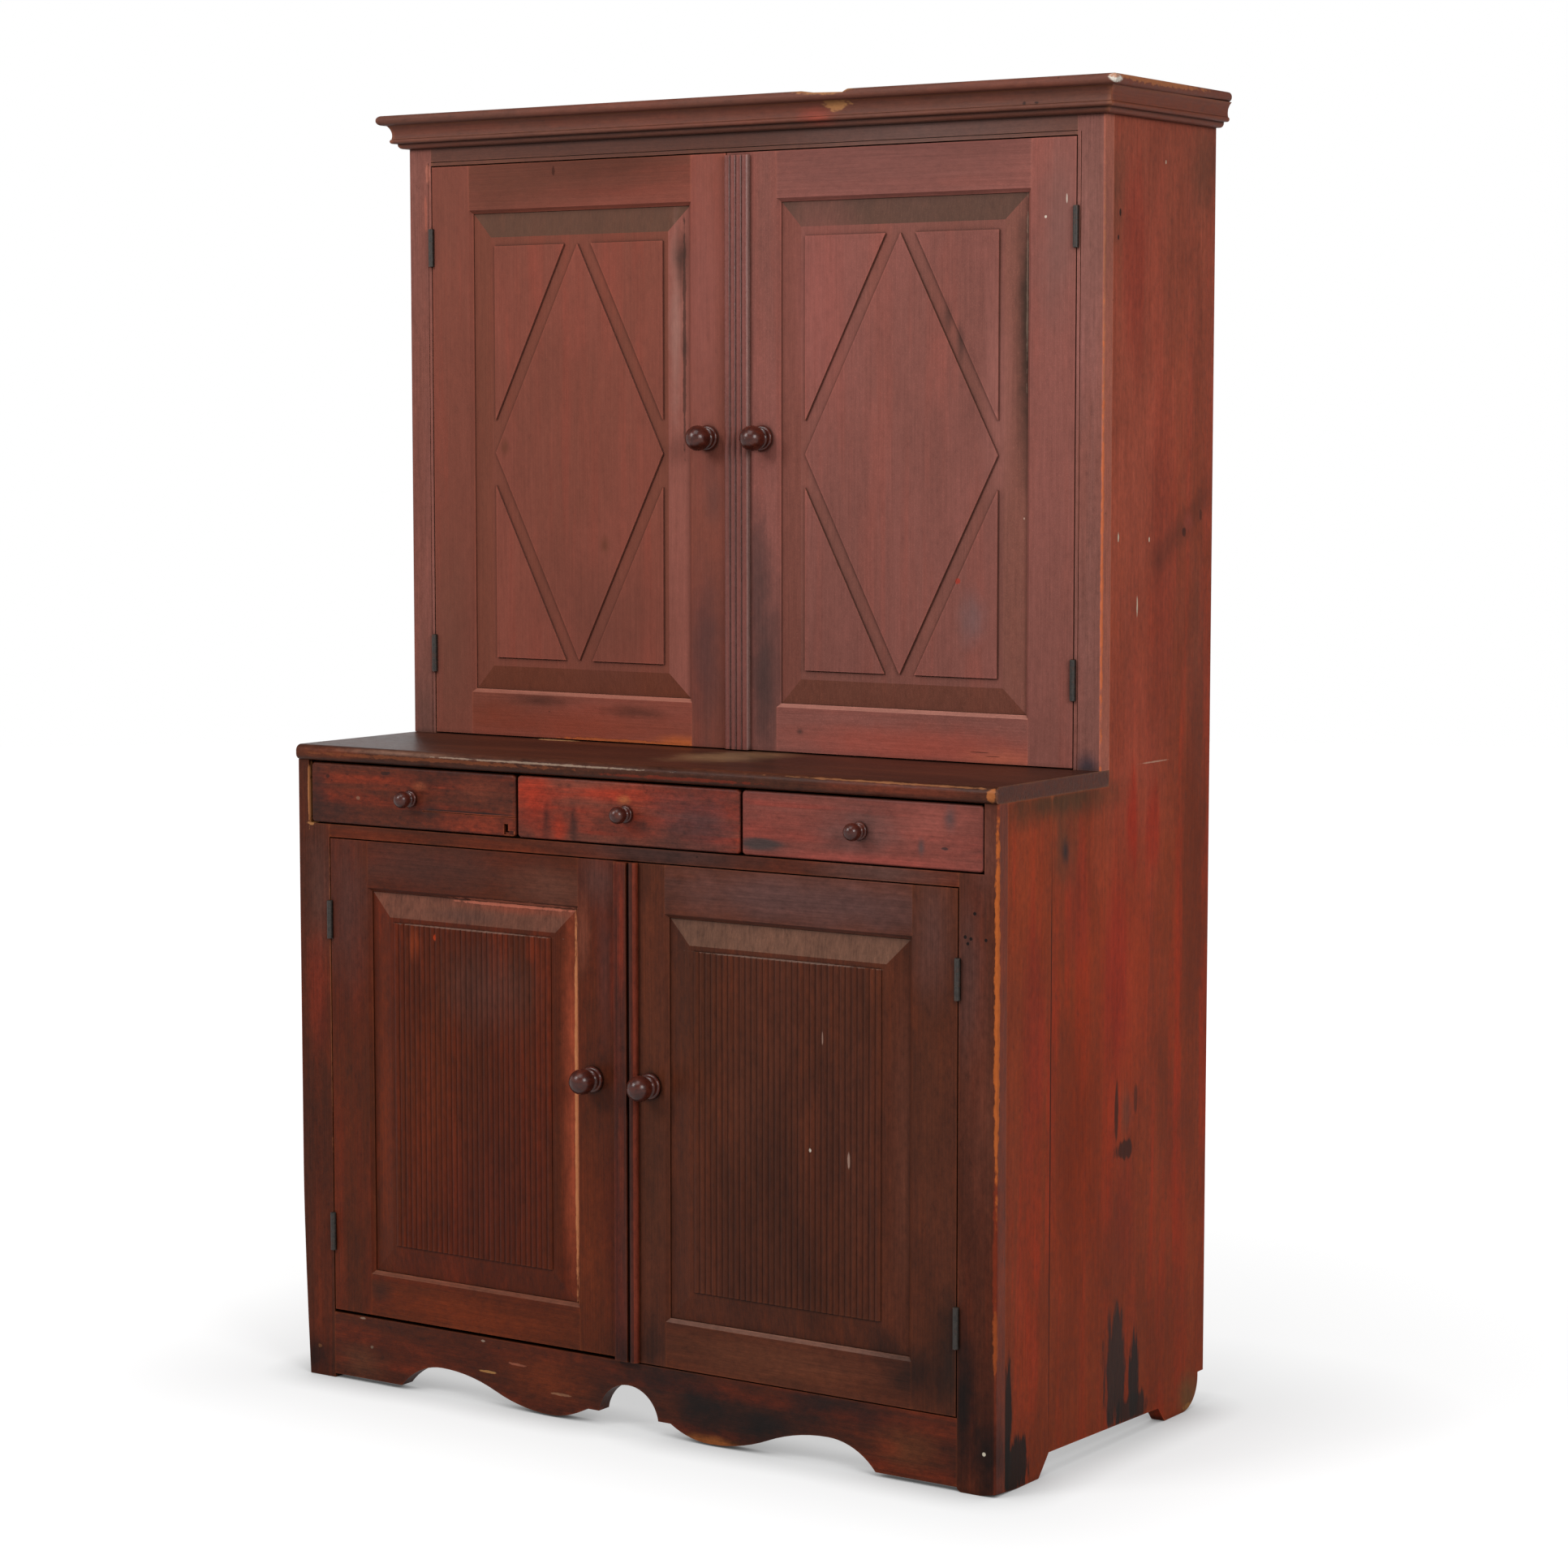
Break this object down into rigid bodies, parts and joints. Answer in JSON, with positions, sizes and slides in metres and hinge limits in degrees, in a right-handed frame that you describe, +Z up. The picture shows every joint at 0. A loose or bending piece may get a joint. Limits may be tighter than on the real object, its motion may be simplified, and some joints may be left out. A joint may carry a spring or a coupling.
{
  "type": "step-back cupboard",
  "caption": "Painted pine step-back cupboard with lozenge-panelled upper doors, a row of drawers, reeded lower doors, a moulded cornice and a scalloped skirt.",
  "frame": {"origin": "centre of the bounding box on the floor, under the middle of the cupboard", "axes": "+X to the right as seen from the front, +Y to the back, +Z up; the doors look along -Y"},
  "size_m": [1.324, 0.657, 1.951],
  "materials": {
    "upper_paint": "worn dusty red-brown paint",
    "lower_paint": "worn dark brown paint over red",
    "side_paint": "worn red paint",
    "drawer_paint": "worn red paint",
    "waist_wood": "dark worn finish with bare edges",
    "inner_wood": "bare old pine",
    "knob_wood": "dark polished turning",
    "hinge_iron": "dull dark iron"
  },
  "bodies": {
    "case": {"left_side_boards": "side_paint", "right_side_boards": "side_paint", "back_boards": "inner_wood", "bottom_board": "inner_wood", "lower_shelf": "inner_wood", "upper_shelf_low": "inner_wood", "upper_shelf_high": "inner_wood", "waist_shelf": "waist_wood", "top_board": "upper_paint", "cornice_front": "upper_paint", "cornice_left_return": "upper_paint", "cornice_right_return": "upper_paint", "frieze_rail": "upper_paint", "upper_left_stile": "upper_paint", "upper_right_stile": "upper_paint", "upper_door_stop": "inner_wood", "lower_left_stile": "lower_paint", "lower_right_stile": "lower_paint", "drawer_rail": "lower_paint", "skirt_board": "lower_paint", "drawer_guides": "inner_wood", "drawer_runners": "inner_wood", "hinge_frame_leaves": "hinge_iron", "hinge_pins": "hinge_iron"},
    "upper_left_door": {"upper_left_door_hinge_stile": "upper_paint", "upper_left_door_lock_stile": "upper_paint", "upper_left_door_rails": "upper_paint", "upper_left_door_panel": "upper_paint", "upper_left_door_hinge_leaves": "hinge_iron", "upper_left_door_knob": "knob_wood"},
    "upper_right_door": {"upper_right_door_hinge_stile": "upper_paint", "upper_right_door_lock_stile": "upper_paint", "upper_right_door_rails": "upper_paint", "upper_right_door_panel": "upper_paint", "upper_right_door_hinge_leaves": "hinge_iron", "upper_right_door_knob": "knob_wood", "upper_right_door_strip": "upper_paint"},
    "lower_left_door": {"lower_left_door_hinge_stile": "lower_paint", "lower_left_door_lock_stile": "lower_paint", "lower_left_door_rails": "lower_paint", "lower_left_door_panel": "lower_paint", "lower_left_door_hinge_leaves": "hinge_iron", "lower_left_door_knob": "knob_wood"},
    "lower_right_door": {"lower_right_door_hinge_stile": "lower_paint", "lower_right_door_lock_stile": "lower_paint", "lower_right_door_rails": "lower_paint", "lower_right_door_panel": "lower_paint", "lower_right_door_hinge_leaves": "hinge_iron", "lower_right_door_knob": "knob_wood", "lower_right_door_strip": "lower_paint"},
    "left_drawer": {"left_drawer_front": "drawer_paint", "left_drawer_box": "inner_wood", "left_drawer_knob": "knob_wood"},
    "middle_drawer": {"middle_drawer_front": "drawer_paint", "middle_drawer_box": "inner_wood", "middle_drawer_knob": "knob_wood"},
    "right_drawer": {"right_drawer_front": "drawer_paint", "right_drawer_box": "inner_wood", "right_drawer_knob": "knob_wood"}
  },
  "joints": [
    {"name": "upper_left_door_hinge", "type": "hinge", "parent": "case", "child": "upper_left_door", "pos_m": [-0.58, -0.00402, 1.427], "axis": [0, 0, -1], "range_deg": [0, 170]},
    {"name": "upper_right_door_hinge", "type": "hinge", "parent": "case", "child": "upper_right_door", "pos_m": [0.58, -0.00402, 1.427], "axis": [0, 0, 1], "range_deg": [0, 170]},
    {"name": "lower_left_door_hinge", "type": "hinge", "parent": "case", "child": "lower_left_door", "pos_m": [-0.562, -0.28402, 0.4725], "axis": [0, 0, -1], "range_deg": [0, 170]},
    {"name": "lower_right_door_hinge", "type": "hinge", "parent": "case", "child": "lower_right_door", "pos_m": [0.562, -0.28402, 0.4725], "axis": [0, 0, 1], "range_deg": [0, 170]},
    {"name": "left_drawer_slide", "type": "slide", "parent": "case", "child": "left_drawer", "axis": [0, -1, 0], "range_m": [0, 0.3]},
    {"name": "middle_drawer_slide", "type": "slide", "parent": "case", "child": "middle_drawer", "axis": [0, -1, 0], "range_m": [0, 0.3]},
    {"name": "right_drawer_slide", "type": "slide", "parent": "case", "child": "right_drawer", "axis": [0, -1, 0], "range_m": [0, 0.3]}
  ]
}
